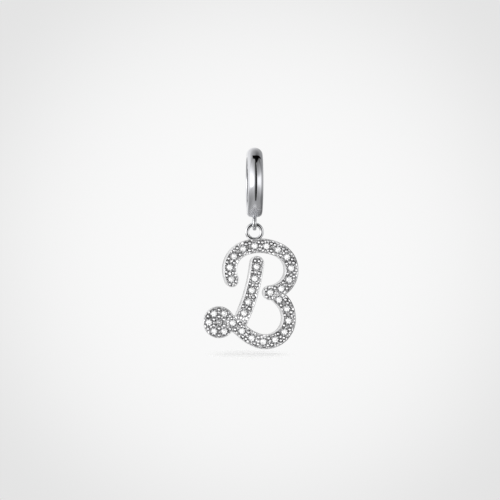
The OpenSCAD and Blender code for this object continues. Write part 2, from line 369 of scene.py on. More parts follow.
@dataclass(frozen=True)
class Silver:
    """Rhodium-plated silver, polished by hand.

    The field between the stones, painted as cut, has small facets with painted shade in their
    creases and painted glints on them.
    Where painted shade is marked on the vertices, the colour darkens towards a shade colour. Crests
    that face the front get a painted highlight, given as emission.
    """

    name: str
    colour: Colour = (0.95, 0.95, 0.96)
    haze: float = 0.04
    haze_spread: float = 0.05
    solder_haze: float = 0.0
    ripple_size: float = 2.5
    ripple_depth: float = 0.002
    wear_and_glint_size: float = 0.35
    worn: Span = (0.35, 0.75)
    cut_size: float = 0.36
    cut_depth: float = 0.0
    cut_haze: float = 0.0
    cut_frost: float = 0.0
    grain_size: float = 0.3
    grain_depth: float = 0.0
    crease_width: float = 0.11
    crease_shade: float = 0.95
    # Painted glints on the cut field's facets and along its creases, given as emission.
    field_glint: Span = (0.17, 0.32)
    field_glint_strength: float = 0.0
    crease_glow: float = 0.18
    # Painted shade: the colour that the metal darkens towards where painted shade is marked and in
    # the creases.
    painted_shade_colour: Colour | None = None
    shade_drift: Span = (0.3, 0.7)
    shade_level: float = 0.55
    shade_gain: float = 0.9
    # Painted highlight on crests facing the front, given as emission, varied by noise and kept off
    # right-facing sides.
    crest: Span = (0.8, 0.97)
    crest_glow: float = 0.0
    glow_drift: Span = (0.4, 0.6)
    glow_level: float = 0.55
    glow_gain: float = 0.6
    glow_side: float = 0.35

    def material(self) -> bpy.types.Material:
        """Builds the material.

        Returns:
            A metal with a faint ripple, a roughness that varies, painted shade in hollows and
            creases and along edges, and painted highlights given as emission.
        """
        made = bpy.data.materials.new(self.name)
        bench = cleared(made)
        add, smooth = bench.node, bench.smooth
        place = add("ShaderNodeTexCoord", output="Object")
        ripple = bench.noise(place, self.ripple_size, Detail=1.0)
        # A noise for worn roughness, which also varies the painted highlights.
        wear_and_glint = bench.noise(place, self.wear_and_glint_size, Detail=4.0, Roughness=0.65)
        haze = smooth(wear_and_glint, *self.worn) * self.haze_spread + self.haze
        height = ripple * self.ripple_depth
        cut: Any = 0.0
        hollow: Any = 0.0
        shade: Any = 0.0
        field_glint: Any = 0.0
        gloss: Any = 1.0
        colour: Any = (*self.colour, 1.0)
        if self.solder_haze:
            haze = haze + bench.painted("soldered") * self.solder_haze
        if self.cut_depth:
            cut = bench.painted("cut")
            grain = bench.noise(place, self.grain_size, Detail=2.0)
            facets = {"Vector": place, "Scale": 1 / (self.cut_size * MM), "Randomness": 0.9}
            domes = add("ShaderNodeTexVoronoi", {"feature": "SMOOTH_F1"}, facets)
            creases = add("ShaderNodeTexVoronoi", {"feature": "DISTANCE_TO_EDGE"}, facets)
            height = height + cut * grain * self.grain_depth - cut * domes * self.cut_depth
            # Painted shade in the creases between the cut facets; painted glints on the facets and
            # along the crease edges.
            shade = self.crease_shade * cut * smooth(creases, self.crease_width, 0.0)
            field_glint = self.crease_glow * smooth(creases, 0.0, 0.1) + smooth(creases, *self.field_glint)
            haze = haze + cut * self.cut_haze
            gloss = 1.0 - cut * self.cut_frost
        # Painted shade: the colour darkens unevenly towards the shade colour where painted shade is
        # marked.
        if self.painted_shade_colour:
            hollow = bench.painted("hollow")
            drift = smooth(ripple, *self.shade_drift)
            shade_amount = hollow * (self.shade_level + self.shade_gain * drift) + shade
            colour = bench.mix(shade_amount, self.colour, self.painted_shade_colour)
        relief = {"Strength": 1.0, "Distance": MM, "Height": height}
        bump = add("ShaderNodeBump", None, relief, "Normal")
        sockets = {"Base Color": colour, "Metallic": gloss, "Roughness": haze, "Normal": bump}
        # Painted highlight: emission on crests that face the front; on the cut field, painted
        # glints instead, and none where painted shade lies.
        if self.crest_glow:
            across, depth, _ = bench.parts(add("ShaderNodeTexCoord", output="Normal"))
            drift = smooth(wear_and_glint, *self.glow_drift)
            crest = smooth(0.0 - depth, *self.crest) * self.crest_glow
            crest = crest * (self.glow_level + self.glow_gain * drift)
            if self.cut_depth:
                crest = crest * (1.0 - cut) * smooth(across, self.glow_side, 0.0)
                crest = (crest + cut * field_glint * self.field_glint_strength * drift) * (1.0 - hollow)
            sockets["Emission Strength"] = 1.0
            sockets["Emission Color"] = bench.mix(crest, BLACK, WHITE)
        bench.end("ShaderNodeOutputMaterial", add("ShaderNodeBsdfPrincipled", None, sockets))
        return made


@dataclass(frozen=True)
class Zirconia:
    """Clear cut stone, with painted shade on its crown and a painted glint on its table."""

    name: str = "clear_zirconia"
    colour: Colour = (0.985, 0.99, 1.0)
    # Painted shade: the grey that tints the crown's facets.
    crown_shade: Colour = (0.35, 0.355, 0.365)
    bend: float = 2.15
    # Strength of the painted glint on the table, given as emission.
    sparkle: float = 0.75
    table_facing: Span = (0.85, 0.97)
    crown_facing: Span = (0.1, 0.3)
    crown_glint: float = 0.04
    flame_size: float = 0.3
    flame: Span = (0.38, 0.55)
    flame_level: float = 0.6
    flame_gain: float = 0.55

    def material(self) -> bpy.types.Material:
        """Builds the material.

        Returns:
            A clear glass whose crown is tinted grey as painted shade, and whose table has a painted
            glint, given as emission that varies unevenly.
        """
        made = bpy.data.materials.new(self.name)
        bench = cleared(made)
        add, smooth = bench.node, bench.smooth
        place = add("ShaderNodeTexCoord", output="Object")
        front = 0.0 - bench.parts(add("ShaderNodeTexCoord", output="Normal"))[1]
        table = smooth(front, *self.table_facing)
        side = smooth(front, *self.crown_facing) * (1.0 - table)
        flame = smooth(bench.noise(place, self.flame_size), *self.flame)
        flame = self.flame_level + self.flame_gain * flame
        glint = (table + self.crown_glint * side) * flame
        sockets = {
            "Base Color": bench.mix(side, self.colour, self.crown_shade),
            "Roughness": 0.0,
            "IOR": self.bend,
            "Transmission Weight": 1.0,
            "Emission Color": bench.mix(glint, BLACK, WHITE),
            "Emission Strength": self.sparkle,
        }
        bench.end("ShaderNodeOutputMaterial", add("ShaderNodeBsdfPrincipled", None, sockets))
        return made


# ---- Pieces ----


def add_piece(
    name: str, mesh: bpy.types.Mesh, body: Body, slot: Slot, stands_for: str
) -> bpy.types.Object:
    """Brings a mesh to metres and hands it to the frame.

    Args:
        name: the piece's name.
        mesh: its mesh, in millimetres and in the part's own axes.
        body: the body that it moves with.
        slot: the record's slot of its finish; not used.
        stands_for: the node that it replaces.

    Returns:
        The new object.
    """
    mesh.transform(Matrix.Scale(MM, 4))
    piece = bpy.data.objects.new(name, mesh)
    mesh.name = name
    bpy.context.scene.collection.objects.link(piece)
    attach(piece, body.value)
    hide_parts(stands_for)
    log.info("%s: %d faces, on %s", name, len(mesh.polygons), body.value)
    return piece


@dataclass
class WireRing:
    """A soldered ring of wire, whose section is a superellipse."""

    name: str
    outside: float
    wire: float
    height: float
    turn: tuple[float, float, float]
    flatness: float = 2.5
    steps: int = 96
    wire_steps: int = 36

    def mesh(self, finish: bpy.types.Material) -> bpy.types.Mesh:
        """Sweeps the wire.

        Args:
            finish: the ring's material.

        Returns:
            The ring's mesh.
        """
        recipe = Recipe(
            self.name,
            {
                "Outside Diameter": self.outside,
                "Wire Diameter": self.wire,
                "Steps": self.steps,
                "Wire Steps": self.wire_steps,
                "Flatness": self.flatness,
                "Turn": self.turn,
                "Place": (0.0, 0.0, self.height),
            },
            finish,
        )
        bench, add, size = recipe.bench, recipe.bench.node, recipe.size
        wire_r = size("Wire Diameter") * 0.5
        mid_r = size("Outside Diameter") * 0.5 - wire_r
        path, round_wire = (
            add("GeometryNodeCurvePrimitiveCircle", None, {"Resolution": steps, "Radius": radius})
            for steps, radius in ((size("Steps"), mid_r), (size("Wire Steps"), 1.0))
        )
        x, y, _ = bench.parts(add("GeometryNodeInputPosition"))
        power = size("Flatness")
        reach = wire_r * (abs(x) ** power + abs(y) ** power) ** (-1.0 / power)
        squared = {"Geometry": round_wire, "Position": bench.vector(x * reach, y * reach)}
        section = add("GeometryNodeSetPosition", None, squared)
        swept = add("GeometryNodeCurveToMesh", None, {"Curve": path, "Profile Curve": section})
        stance = {"Geometry": swept, "Rotation": size("Turn"), "Translation": size("Place")}
        recipe.close(add("GeometryNodeTransform", None, stance))
        return recipe.mesh()


@dataclass
class Bail:
    """The hoop and the loop soldered under it."""

    outside: float = 9.0
    wall: float = 1.2
    width: float = 1.95
    dome: float = 0.66
    ease: float = 0.2
    loop_outside: float = 1.96
    loop_wire: float = 0.5
    loop_sink: float = 0.27
    foot_fullness: float = 2.6
    foot_start: float = 30.0
    foot_end: float = 62.0
    steps: int = 224
    dome_steps: int = 41
    ease_steps: int = 8

    @property
    def axis_height(self) -> float:
        """Height of the hoop's axis."""
        return self.wall - self.outside / 2

    @property
    def loop_height(self) -> float:
        """Height of the loop's middle."""
        return self.axis_height - self.outside / 2 + self.loop_sink - self.loop_outside / 2

    def hoop_mesh(self, finish: bpy.types.Material) -> bpy.types.Mesh:
        """Turns the domed band.

        Args:
            finish: the hoop's material.

        Returns:
            The hoop's mesh.
        """
        recipe = Recipe(
            "turned_hoop",
            {
                "Outside Radius": self.outside / 2,
                "Wall": self.wall,
                "Width": self.width,
                "Dome": self.dome,
                "Ease": self.ease,
                "Steps": self.steps,
                "Axis Height": self.axis_height,
            },
            finish,
        )
        bench, add, size = recipe.bench, recipe.bench.node, recipe.size
        half = size("Width") * 0.5
        top = size("Outside Radius")
        shoulder = top - size("Dome")
        bore = top - size("Wall")
        dome = add(
            "GeometryNodeCurveArc", {"mode": "POINTS"},
            {
                "Resolution": self.dome_steps,
                "Start": bench.vector(shoulder, half * -1.0),
                "Middle": bench.vector(top, 0.0),
                "End": bench.vector(shoulder, half),
            },
        )
        index = add("GeometryNodeInputIndex")
        inner = (index > 0.5) * (1.0 - (index > 2.5))
        across = half - (index > 1.5) * size("Width")
        corner = bench.vector(shoulder - inner * (shoulder - bore), across)
        line = add("GeometryNodeCurvePrimitiveLine")
        posts = add("GeometryNodeResampleCurve", {"mode": "COUNT"}, {"Curve": line, "Count": 4})
        cheeks = add("GeometryNodeSetPosition", None, {"Geometry": posts, "Position": corner})
        eased = add(
            "GeometryNodeFilletCurve", {"mode": "POLY"},
            {
                "Curve": cheeks, "Count": self.ease_steps,
                "Radius": size("Ease"), "Limit Radius": True,
            },
        )
        ring = recipe.spun([dome, eased], size("Steps"))
        placed = add(
            "GeometryNodeTransform", None,
            {
                "Geometry": ring,
                "Rotation": (0.0, math.pi / 2, 0.0),
                "Translation": bench.vector(0.0, 0.0, size("Axis Height")),
            },
        )
        recipe.close(placed)
        return recipe.mesh()

    def fill_foot(self, mesh: bpy.types.Mesh) -> bpy.types.Mesh:
        """Fills out the shoulders of the dome over the loop, and marks the soldered place.

        Args:
            mesh: the turned hoop.

        Returns:
            The same mesh.
        """
        half = self.width / 2
        bend = (half**2 + self.dome**2) / (2 * self.dome)
        widest = math.asin(half / bend)
        shoulder = self.outside / 2 - self.dome
        joint = mesh.attributes.new("soldered", "FLOAT", "POINT")
        for i, v in enumerate(mesh.vertices):
            rise = v.co.z - self.axis_height
            reach = math.hypot(v.co.y, rise)
            turn = math.degrees(math.atan2(abs(v.co.y), -rise))
            near = eased(turn, (self.foot_end, self.foot_start))
            joint.data[i].value = near if reach > shoulder else 0.0
            if reach > shoulder + 1e-4 and near > 0:
                part = clamp(math.asin(clamp(v.co.x / bend, -1.0)) / widest, -1.0)
                t = abs(part) * math.pi / 2
                x = math.copysign(half * math.sin(t) ** (2 / self.foot_fullness), part)
                full = shoulder + self.dome * max(0.0, math.cos(t)) ** (2 / self.foot_fullness)
                grown = 1 + near * (full / reach - 1)
                v.co.x += near * (x - v.co.x)
                v.co.y *= grown
                v.co.z = self.axis_height + rise * grown
        return mesh

    def build(self, finish: bpy.types.Material, wire: bpy.types.Material) -> None:
        """Makes the hoop and its loop.

        Args:
            finish: the polished silver.
            wire: the wire's silver, a little greyer as painted shade.
        """
        hoop = self.fill_foot(outward(self.hoop_mesh(finish)))
        add_piece("hoop", hoop, Body.BAIL, Slot.POLISHED, "bail")
        upright = (0.0, math.pi / 2, 0.0)
        loop = WireRing("bail_loop", self.loop_outside, self.loop_wire, self.loop_height, upright)
        add_piece("bail_loop", outward(loop.mesh(wire)), Body.BAIL, Slot.POLISHED, "bail")


def outward(mesh: bpy.types.Mesh) -> bpy.types.Mesh:
    """Welds a mesh and turns its faces outwards.

    Args:
        mesh: the mesh.

    Returns:
        The same mesh.
    """
    bm = bmesh.new()
    bm.from_mesh(mesh)
    bmesh.ops.remove_doubles(bm, verts=bm.verts, dist=WELD)
    bmesh.ops.recalc_face_normals(bm, faces=bm.faces)
    bm.to_mesh(mesh)
    bm.free()
    mesh.update()
    return mesh


# ---- The letter ----


@dataclass(frozen=True)
class Arc:
    """An arc of a middle line: its radius as a share of the line height, and its sweep."""

    radius: float
    sweep: float


@dataclass(frozen=True)
class Spot:
    """A place on a middle line, with the direction of the line there, in degrees."""

    x: float
    y: float
    heading: float

    def beside(self, distance: float) -> "Spot":
        """The spot that lies this far to the left."""
        a = math.radians(self.heading)
        return Spot(self.x - distance * math.sin(a), self.y + distance * math.cos(a), self.heading)

    def ahead(self, reach: float, turn: float) -> Point:
        """The point at this distance, turned from straight on."""
        a = math.radians(self.heading + turn)
        return (self.x + reach * math.cos(a), self.y + reach * math.sin(a))

    def along(self, radius: float, turn: float) -> "Spot":
        """Follows an arc that starts here.

        Args:
            radius: the arc's radius.
            turn: its sweep in degrees, positive to the left.

        Returns:
            The spot at its end.
        """
        side = math.copysign(1.0, turn)
        middle = self.beside(side * radius)
        a = math.radians(self.heading + turn)
        return Spot(
            middle.x + side * radius * math.sin(a),
            middle.y - side * radius * math.cos(a),
            self.heading + turn,
        )


@dataclass(frozen=True)
class Stroke:
    """One stroke: a run of tangent arcs with a row of stones."""

    start: Point
    heading: float
    arcs: tuple[Arc, ...]
    line_height: float
    count: int
    lead: float
    tail: float

    def arc_length(self, arc: Arc) -> float:
        """Length of one arc."""
        return arc.radius * self.line_height * math.radians(abs(arc.sweep))

    @property
    def length(self) -> float:
        """Length of the whole line."""
        return sum(self.arc_length(a) for a in self.arcs)

    @property
    def pitch(self) -> float:
        """Distance between neighbouring stones along the line."""
        return (self.length - self.lead - self.tail) / (self.count - 1)

    def walk(self, distance: float) -> tuple[Spot, float]:
        """Walks along the line.

        Args:
            distance: how far to walk.

        Returns:
            The spot there, and the line's bend: one over its radius, positive to the left.
        """
        scale = self.line_height
        spot = Spot(self.start[0] * scale, self.start[1] * scale, self.heading)
        for i, arc in enumerate(self.arcs):
            length = self.arc_length(arc)
            radius = arc.radius * scale
            if distance <= length or i == len(self.arcs) - 1:
                end = spot.along(radius, arc.sweep * distance / length)
                return end, math.copysign(1 / radius, arc.sweep)
            spot = spot.along(radius, arc.sweep)
            distance -= length
        raise ValueError("a stroke has at least one arc")

    def stones(self) -> list[Spot]:
        """Spots of the stones."""
        return [self.walk(self.lead + i * self.pitch)[0] for i in range(self.count)]

    def outline(self, half: float, step: float, cap_steps: int) -> list[Point]:
        """Draws round the stroke.

        Args:
            half: half the width of the stroke.
            step: the longest step along the line.
            cap_steps: steps of the half circle at each end.

        Returns:
            The closed outline, clockwise.
        """
        line = []
        done = 0.0
        for arc in self.arcs:
            length = self.arc_length(arc)
            steps = max(2, math.ceil(length / step))
            line += [self.walk(done + length * k / steps)[0] for k in range(steps)]
            done += length
        line.append(self.walk(self.length)[0])
        turns = [90 - 180 * k / cap_steps for k in range(1, cap_steps)]
        left = [(s.beside(half).x, s.beside(half).y) for s in line]
        right = [(s.beside(-half).x, s.beside(-half).y) for s in reversed(line)]
        far_cap = [line[-1].ahead(half, t) for t in turns]
        near_cap = [line[0].ahead(half, t + 180) for t in turns]
        return left + far_cap + right + near_cap

    def side_beads(
        self, middle: float, reach: float, long_side: float, spread: float
    ) -> list[Point]:
        """Beads beside one gap between two stones.

        Args:
            middle: distance along the line of the gap's middle.
            reach: distance of the beads from the middle line.
            long_side: a side takes two beads where it is this much longer than the line.
            spread: half the distance between such a pair, as a share of the pitch.

        Returns:
            The beads' centres.
        """
        found = []
        for side in (-1, 1):
            stretch = 1 - side * reach * self.walk(middle)[1]
            apart = spread * self.pitch
            for offset in (-apart, apart) if stretch > long_side else (0.0,):
                spot = self.walk(middle + offset)[0].beside(side * reach)
                found.append((spot.x, spot.y))
        return found


class Shell:
    """Vertices and faces of a closed metal shell, gathered ring by ring."""

    SHARP = 38

    def __init__(self) -> None:
        """Starts empty."""
        self.points: list[tuple[float, float, float]] = []
        self.hollow: list[float] = []
        self.cut: list[float] = []
        self.faces: list[tuple[int, ...]] = []

    def ring(
        self, loop: Sequence[Point], height: float, hollow: float = 0.0, cut: float = 0.0
    ) -> list[int]:
        """Adds a closed loop at one height.

        Args:
            loop: its points.
            height: their height above the plate's back.
            hollow: how much painted shade darkens the colour there, from 0 to 1.
            cut: how much the graver has cut there, from 0 to 1.

        Returns:
            The vertices' numbers.
        """
        first = len(self.points)
        self.points += [(x, y, height) for x, y in loop]
        self.hollow += [hollow] * len(loop)
        self.cut += [cut] * len(loop)
        return list(range(first, len(self.points)))

    def wall(self, first: Sequence[int], second: Sequence[int]) -> None:
        """Joins two rings of as many vertices."""
        n = len(first)
        for i in range(n):
            j = (i + 1) % n
            self.faces.append((first[i], first[j], second[j], second[i]))

    def cover(
        self,
        edge: Sequence[int],
        holes: Sequence[Sequence[int]],
        up: bool,
        between: Sequence[int] = (),
    ) -> None:
        """Fills between a ring and the rings inside it.

        Args:
            edge: the outer ring, anticlockwise from the front.
            holes: the rings that stay open.
            up: whether the faces look to the front.
            between: loose vertices that the faces also meet.
        """
        numbers = list(edge)
        loops = [list(range(len(edge)))]
        for hole in holes:
            loops.append(list(range(len(numbers), len(numbers) + len(hole))))
            numbers += hole
        numbers += between
        flat = [Vector(self.points[i][:2]) for i in numbers]
        _, _, triangles, came_from, _, inside = delaunay_2d_cdt(flat, [], loops, 1, 1e-6)
        for triangle, loops_round in zip(triangles, inside):
            if list(loops_round) == [0]:
                face = tuple(numbers[came_from[v][0]] for v in triangle)
                self.faces.append(face if up else face[::-1])

    def mesh(self, name: str, place: Callable[[float, float, float], Point]) -> bpy.types.Mesh:
        """Makes the mesh.

        Args:
            name: the mesh's name.
            place: brings a point of the letter's face to the part's axes.

        Returns:
            The mesh, smooth, with its corners left sharp.
        """
        made = bpy.data.meshes.new(name)
        made.from_pydata([place(*p) for p in self.points], [], self.faces)
        made.validate()
        for label, levels in (("hollow", self.hollow), ("cut", self.cut)):
            values = made.attributes.new(label, "FLOAT", "POINT")
            values.data.foreach_set("value", levels)
        made.polygons.foreach_set("use_smooth", [True] * len(made.polygons))
        made.set_sharp_from_angle(angle=math.radians(self.SHARP))
        return made


def circle(x: float, y: float, radius: float, steps: int) -> list[Point]:
    """Points of a circle, anticlockwise."""
    turns = [2 * math.pi * k / steps for k in range(steps)]
    return [(x + radius * math.cos(t), y + radius * math.sin(t)) for t in turns]


def finder(places: Sequence[Point]) -> Callable[[float, float], tuple[Vector, int, float]]:
    """Prepares a search among places.

    Args:
        places: the places.

    Returns:
        A function that gives the place nearest to a point, its number and its distance.
    """
    tree = KDTree(len(places))
    for i, (x, y) in enumerate(places):
        tree.insert((x, y, 0.0), i)
    tree.balance()
    return lambda x, y: tree.find((x, y, 0.0))


def joined_outline(outlines: Sequence[Sequence[Point]]) -> list[Point]:
    """Joins overlapping outlines into one.

    Args:
        outlines: closed outlines that overlap.

    Returns:
        The outline round all of them, anticlockwise.
    """
    flat: list[Vector] = []
    loops = []
    for outline in outlines:
        loops.append(list(range(len(flat), len(flat) + len(outline))))
        flat += [Vector(p) for p in outline]
    points, _, triangles, *_ = delaunay_2d_cdt(flat, [], loops, 1, 1e-5)
    sides = {(t[i], t[(i + 1) % 3]) for t in triangles for i in range(3)}
    after = {a: b for a, b in sides if (b, a) not in sides}
    start = here = next(iter(after))
    loop = []
    while True:
        loop.append(here)
        here = after[here]
        if here == start:
            break
    if len(loop) != len(after):
        raise ValueError("the letter's outline has more than one loop")
    kept: list[Point] = []
    for i in loop:
        p = points[i]
        if not kept or math.dist(p, kept[-1]) > NEAR:
            kept.append((p[0], p[1]))
    return kept


@dataclass
class Letter:
    """The set letter: its plate, its beads and the ring on top."""

    bail: Bail
    height: float = 14.17
    stroke: float = 1.86
    thickness: float = 1.5
    rim: float = 0.11
    recess: float = 0.2
    disc: float = 4.06
    stone: float = 1.05
    seat_gap: float = 0.02
    girdle: float = 0.03
    pavilion: float = 0.45
    drill: float = 0.5
    bead: float = 0.38
    bead_rise: float = 0.04
    bead_edge: float = 0.09
    bead_gap: float = 0.025
    ring_outside: float = 2.42
    ring_wire: float = 0.5
    ring_sink: float = 0.38
    link_gap: float = 0.04
    long_side: float = 1.07
    pair_spread: float = 0.14
    waist_inset: float = 0.17
    cluster_edge: float = 0.055
    cluster_drop: float = 0.03
    cluster_places: int = 6
    end_gap: float = 0.02
    stem_end_gap: float = 0.1
    end_turn: float = 41.0
    stem_end_turn: float = 21.0
    lean: float = 0.2
    lean_room: float = 0.75
    lean_side: Span = (0.1, 0.9)
    lean_clear: Span = (0.1, 1.0)
    bead_draw: float = 0.1
    bead_near: float = 0.4
    bead_growth: float = 0.032
    # Painted shade: each bead darkens towards its foot over this span of its reach.
    bead_foot_shade: Span = (0.3, 0.8)
    rim_ease: float = 0.06
    # Painted shade on the rim's outer rounding, by angle, to darken its edge.
    rim_edge_shade: tuple[Point, ...] = ((0, 0.05), (25, 0.4), (50, 0.4), (70, 0.1), (90, 0.0))
    rim_inner_ease: float = 0.035
    rim_foot: float = 0.02
    # Width, height and painted shade of rows at the rim's foot, darkening the field just inside the
    # rim.
    rim_foot_rows: tuple[tuple[float, float, float], ...] = (
        (0.004, 1.0, 0.7), (0.007, 0.3, 0.9), (0.014, 0.0, 0.0),
    )
    # Painted shade on the rim along the right of the bowls, the side turned from the light.
    rim_shade: float = 0.75
    rim_shade_side: Span = (0.35, 0.75)
    rim_shade_right: Span = (1.5, 3.5)
    back_ease: float = 0.08
    # Painted shade on the rounding round the back edge, darkening the outline.
    back_shade: float = 0.45
    back_margin: float = 0.01
    seat_lip: float = 0.006
    seat_steps: int = 48
    drill_ease: float = 0.04
    rim_margin: float = 0.05
    seat_margin: float = 0.03
    groove_gap: float = 0.07
    groove_width: float = 0.05
    groove_depth: float = 0.035
    # Painted shade in the groove round each bead.
    groove_shade: float = 1.1
    cut_size: float = 0.25
    cut_depth: float = 0.02
    pits: tuple[Point, ...] = ((-3.5, -9.27), (-5.62, -9.24))
    pit_reach: float = 0.16
    pit_depth: float = 0.2
    # Painted shade in the pits.
    pit_shade: float = 2.0
    step: float = 0.13
    cap_steps: int = 30
    disc_steps: int = 112
    line_steps: int = 1600
    coarse_steps: int = 200
    mesh_size: float = 0.05
    row_share: float = 0.866
    strokes: dict[str, Stroke] = field(default_factory=dict)

    def __post_init__(self) -> None:
        """Lays out the strokes."""
        line = self.height - self.stroke
        self.strokes = {
            "upper": Stroke(
                (-0.239, -0.356), 115.2,
                (Arc(0.241, -95.9), Arc(0.4555, -46), Arc(0.2322, -115.5), Arc(0.2545, -33.5)),
                line, 12, 0.1, 0.1,
            ),
            "lower": Stroke(
                (0.2175, -0.5085), -44.1,
                (
                    Arc(8, -0.55), Arc(0.2805, -45.9), Arc(0.2426, -103), Arc(0.393, -31),
                    Arc(1.286, 6.4),
                ),
                line, 9, 0.8, 0.1,
            ),
            "stem": Stroke((0.0235, -0.184), -96.2, (Arc(1.855, -19.4),), line, 5, 0.43, 1.1),
        }
        self.disc_middle = (-0.371 * line, -0.799 * line)
        self.ring_height = self.bail.loop_height - self.bail.loop_outside / 2 + self.bail.loop_wire
        self.ring_height += self.link_gap + self.ring_wire - self.ring_outside / 2
        self.crest = self.ring_height - self.ring_outside / 2 + self.ring_sink - self.stroke / 2

    @property
    def field(self) -> float:
        """Height of the set field above the plate's back."""
        return self.thickness - self.recess

    @property
    def seat(self) -> float:
        """Radius of a seat."""
        return self.stone / 2 + self.seat_gap

    @property
    def cluster_middle(self) -> Point:
        """Place of the terminal's middle stone."""
        return (self.disc_middle[0], self.disc_middle[1] - self.cluster_drop)

    @property
    def cluster_reach(self) -> float:
        """Distance of the terminal's other stones from the middle one."""
        return self.disc / 2 - self.rim - self.seat - self.cluster_edge

    def place(self, x: float, y: float, z: float) -> tuple[float, float, float]:
        """Brings a point of the letter's face to the part's axes."""
        return (x, self.thickness / 2 - z, self.crest + y)

    def stone_spots(self) -> list[Spot]:
        """Places the stones.

        Returns:
            The spots of all the stones.
        """
        lower = self.strokes["lower"].stones()
        lower[0] = lower[0].beside(-self.waist_inset)
        ring = circle(*self.cluster_middle, self.cluster_reach, self.cluster_places)[1:]
        return (
            self.strokes["upper"].stones() + lower + self.strokes["stem"].stones()
            + [Spot(x, y, 0.0) for x, y in [*ring, self.cluster_middle]]
        )

    def bead_places(self) -> list[Point]:
        """Places the setting beads.

        Returns:
            The centres of the beads that clear the seats and each other.
        """
        bead = self.bead / 2
        reach = self.stroke / 2 - self.rim - bead - self.bead_edge
        upper, lower, stem = (self.strokes[n] for n in ("upper", "lower", "stem"))
        end = self.seat + bead + self.bead_gap + self.end_gap
        stem_end = self.seat + bead + self.bead_gap + self.stem_end_gap
        first, last = upper.stones()[0], upper.stones()[-1]
        top = stem.stones()[0]
        turns = (self.end_turn, -self.end_turn)
        wanted = [Spot(first.x, first.y, upper.heading + 180).ahead(end, t) for t in turns]
        wanted += [last.ahead(end, t) for t in turns]
        turns = (self.stem_end_turn, -self.stem_end_turn)
        wanted += [Spot(top.x, top.y, stem.heading + 180).ahead(stem_end, t) for t in turns]
        for stroke, first_gap in ((upper, 0), (stem, 0), (lower, -1)):
            for i in range(first_gap, stroke.count - 1):
                middle = stroke.lead + (i + 0.5) * stroke.pitch
                wanted += stroke.side_beads(middle, reach, self.long_side, self.pair_spread)
        x, y = self.cluster_middle
        inner = self.cluster_reach / (2 * math.cos(math.pi / self.cluster_places))
        outer = self.disc / 2 - self.rim - bead - self.bead_edge
        for radius in (inner, outer):
            for i in range(self.cluster_places):
                t = 2 * math.pi * (i + 0.5) / self.cluster_places
                wanted.append((x + radius * math.cos(t), y + radius * math.sin(t)))
        seats = [(s.x, s.y) for s in self.stone_spots()]
        kept: list[Point] = []
        for p in wanted:
            clear_seats = all(math.dist(p, s) >= self.seat + bead + self.bead_gap for s in seats)
            if clear_seats and all(math.dist(p, k) >= self.bead + self.bead_gap for k in kept):
                kept.append(p)
        return kept

    def drawn_beads(self) -> list[Point]:
        """Draws the beads of a stroke in towards its middle line.

        Returns:
            The centres of the beads as they look from the front.
        """
        find = finder(self.middle_lines(self.coarse_steps))
        found = []
        for x, y in self.bead_places():
            line, _, away = find(x, y)
            on_disc = math.dist((x, y), self.disc_middle) < self.disc / 2
            draw = 0.0 if on_disc or away < self.bead_near else self.bead_draw / away
            found.append((x + draw * (line[0] - x), y + draw * (line[1] - y)))
        return found

    def face_outline(self, inset: float) -> list[Point]:
        """Outline of the letter's face.

        Args:
            inset: how far it lies inside the outer edge.

        Returns:
            The outline, anticlockwise.
        """
        half = self.stroke / 2 - inset
        outlines = [s.outline(half, self.step, self.cap_steps) for s in self.strokes.values()]
        outlines.append(circle(*self.disc_middle, self.disc / 2 - inset, self.disc_steps)[::-1])
        return joined_outline(outlines)

    def leaning(self) -> Callable[[Point], Point]:
        """Prepares the lean of the walls that face left.

        Returns:
            A function that draws a point of the face in to the right, by as much as it lies to
            the left of a stroke's middle line.
        """
        to_line = finder(self.middle_lines(self.line_steps))
        to_seat = finder([(spot.x, spot.y) for spot in self.stone_spots()])
        half = self.stroke / 2

        def lean(point: Point) -> Point:
            """Draws one point in."""
            x, y = point
            left = eased((to_line(x, y)[0][0] - x) / half, self.lean_side)
            room = max(0.0, self.lean_room * (to_seat(x, y)[2] - self.seat))
            clear = share(math.dist(point, self.disc_middle) - self.disc / 2, self.lean_clear)
            return (x + min(self.lean, room) * left * clear, y)

        return lean

    def shade_right_rim(self, shell: Shell, rings: Sequence[Sequence[int]]) -> None:
        """Paints shade on the rim where it runs along the right of the bowls, the side turned from
        the light.

        Args:
            shell: the plate so far.
            rings: the rim's loops.
        """
        to_line = finder(self.middle_lines(self.line_steps))
        for i in (i for ring in rings for i in ring):
            x, y, z = shell.points[i]
            if z > self.field:
                side = (x - to_line(x, y)[0][0]) / (self.stroke / 2)
                shade_amount = share(side, self.rim_shade_side) * share(x, self.rim_shade_right)
                shell.hollow[i] = max(shell.hollow[i], self.rim_shade * shade_amount)

    def middle_lines(self, steps: int) -> list[Point]:
        """Follows the strokes' middle lines.

        Args:
            steps: the number of steps along each.

        Returns:
            Points along all of them.
        """
        return [
            (spot.x, spot.y)
            for stroke in self.strokes.values()
            for spot in (stroke.walk(stroke.length * k / steps)[0] for k in range(steps + 1))
        ]

    def edge_profile(self) -> list[tuple[float, float, float]]:
        """Profile of the rim, from the side wall in to the field.

        Returns:
            Rows of inset, height and painted shade.
        """
        top, low = self.thickness, self.field
        angles, levels = zip(*self.rim_edge_shade)
        outer = arc_insets(self.rim_ease, angles)
        inner = arc_insets(self.rim_inner_ease, (0, 35, 65, 90))
        return (
            [(inset, top - depth, level) for (inset, depth), level in zip(outer, levels)]
            + [(self.rim - depth, top - inset, 0.0) for inset, depth in inner]
            + [(self.rim + w, low + z * self.rim_foot, h) for w, z, h in self.rim_foot_rows]
        )

